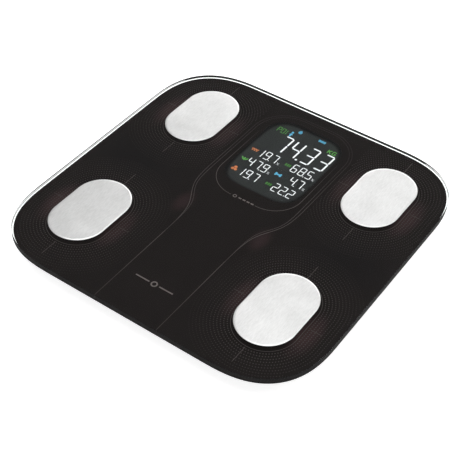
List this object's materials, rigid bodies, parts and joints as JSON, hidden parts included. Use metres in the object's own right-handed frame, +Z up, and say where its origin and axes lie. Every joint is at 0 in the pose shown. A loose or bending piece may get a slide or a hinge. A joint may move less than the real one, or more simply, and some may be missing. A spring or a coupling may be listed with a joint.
{
  "type": "digital bathroom scale",
  "caption": "Square glass platform scale with four steel electrodes, back-lit numeric display, load-cell feet, battery door and unit button.",
  "frame": {"origin": "on the floor, under the middle of the platform", "axes": "+Z up, +Y towards the display end, +X to the right as the user reads the display"},
  "size_m": [0.3, 0.302, 0.0257],
  "materials": {
    "toughened_glass": "polished clear",
    "ceramic_print": "black back-printed ink with fine dots and lines",
    "electrode_steel": "satin stainless",
    "plated_steel": "zinc plated",
    "spring_steel": "bright rolled",
    "brass": "tinned brass",
    "tray_plastic": "fine moulded texture",
    "cradle_plastic": "plain moulded",
    "button_plastic": "satin",
    "foot_rubber": "grooved matte",
    "bond_foam": "closed-cell foam tape",
    "battery_case": "printed sleeve",
    "circuit_board": "solder mask",
    "chip_black": "moulded epoxy",
    "shield_can": "tinned",
    "connector_nylon": "natural nylon",
    "display_glass": "dark, with lit figures",
    "light_acrylic": "clear acrylic",
    "film_white": "film",
    "housing_plastic": "plain moulded",
    "ribbon_film": "polyimide",
    "lead_sleeve": "soft sleeve"
  },
  "bodies": {
    "scale_body": {"glass_platform": "toughened_glass", "back_print": "ceramic_print", "electrode_front_left": "electrode_steel", "electrode_front_right": "electrode_steel", "electrode_back_left": "electrode_steel", "electrode_back_right": "electrode_steel", "electrode_bond_pads": "bond_foam", "electrode_terminals": "brass", "electrode_nuts": "plated_steel", "bond_tape": "bond_foam", "base_tray": "tray_plastic", "load_cell_front_left": "spring_steel", "load_cell_front_right": "spring_steel", "load_cell_back_left": "spring_steel", "load_cell_back_right": "spring_steel", "cell_cradle_front_left": "cradle_plastic", "cell_cradle_front_right": "cradle_plastic", "cell_cradle_back_left": "cradle_plastic", "cell_cradle_back_right": "cradle_plastic", "strain_gauges": "brass", "cradle_screws": "plated_steel", "battery_left": "battery_case", "battery_middle": "battery_case", "battery_right": "battery_case", "battery_springs": "plated_steel", "battery_contacts": "plated_steel", "main_board": "circuit_board", "controller_chip": "chip_black", "radio_module": "shield_can", "board_capacitors": "shield_can", "board_connectors": "connector_nylon", "board_screws": "plated_steel", "switch_housing": "chip_black", "display_gasket": "bond_foam", "display_panel": "display_glass", "display_diffuser": "film_white", "light_guide": "light_acrylic", "display_reflector": "film_white", "backlight_strip": "connector_nylon", "display_housing": "housing_plastic", "housing_screws": "plated_steel", "display_ribbon": "ribbon_film", "load_cell_lead_front_left": "lead_sleeve", "load_cell_lead_front_right": "lead_sleeve", "load_cell_lead_back_left": "lead_sleeve", "load_cell_lead_back_right": "lead_sleeve", "electrode_leads": "lead_sleeve", "battery_leads": "lead_sleeve"},
    "foot_front_left": {"foot_cap_front_left": "tray_plastic", "foot_pad_front_left": "foot_rubber"},
    "foot_front_right": {"foot_cap_front_right": "tray_plastic", "foot_pad_front_right": "foot_rubber"},
    "foot_back_left": {"foot_cap_back_left": "tray_plastic", "foot_pad_back_left": "foot_rubber"},
    "foot_back_right": {"foot_cap_back_right": "tray_plastic", "foot_pad_back_right": "foot_rubber"},
    "battery_door": {"battery_door": "tray_plastic"},
    "unit_button": {"unit_button": "button_plastic", "switch_plunger": "chip_black"}
  },
  "joints": [
    {"name": "foot_front_left_slide", "type": "slide", "parent": "scale_body", "child": "foot_front_left", "axis": [0, 0, 1], "range_m": [-0.0006, 0]},
    {"name": "foot_front_right_slide", "type": "slide", "parent": "scale_body", "child": "foot_front_right", "axis": [0, 0, 1], "range_m": [-0.0006, 0]},
    {"name": "foot_back_left_slide", "type": "slide", "parent": "scale_body", "child": "foot_back_left", "axis": [0, 0, 1], "range_m": [-0.0006, 0]},
    {"name": "foot_back_right_slide", "type": "slide", "parent": "scale_body", "child": "foot_back_right", "axis": [0, 0, 1], "range_m": [-0.0006, 0]},
    {"name": "battery_door_hinge", "type": "hinge", "parent": "scale_body", "child": "battery_door", "pos_m": [0, -0.0525, 0.0054], "axis": [1, 0, 0], "range_deg": [0, 75]},
    {"name": "unit_button_press", "type": "slide", "parent": "scale_body", "child": "unit_button", "axis": [0, 0, 1], "range_m": [0, 0.0006], "stiffness_N_per_m": 600}
  ]
}
